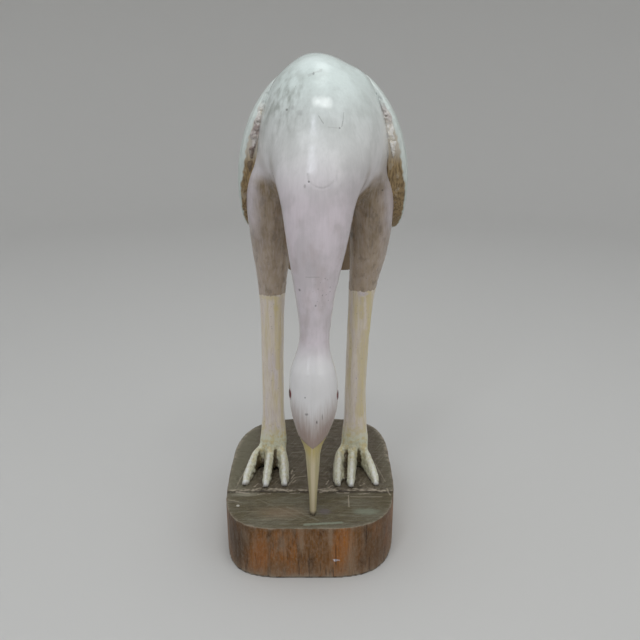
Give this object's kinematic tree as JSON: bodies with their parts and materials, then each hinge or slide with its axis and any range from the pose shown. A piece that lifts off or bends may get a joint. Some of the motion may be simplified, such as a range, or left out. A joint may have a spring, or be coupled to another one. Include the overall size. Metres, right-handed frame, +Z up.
{
  "type": "carved wooden egret sculpture",
  "caption": "Carved and painted wooden egret feeding with its beak down to a thick rounded wooden base, with a separate board for each wing.",
  "frame": {"origin": "centre of the base's underside", "axes": "+Z up, the bird faces -Y, and its left wing is towards +X"},
  "size_m": [0.2355, 0.3459, 0.62],
  "materials": {
    "painted_wood": "worn satin off-white paint, yellowed on beak, shanks and toes",
    "base_wood": "varnished red-brown sides with upright grain, grey-brown worn top",
    "filler": "rough painted filler"
  },
  "bodies": {
    "root": {"egret": "painted_wood", "wing_left": "painted_wood", "wing_right": "painted_wood", "base": "base_wood"}
  },
  "joints": []
}
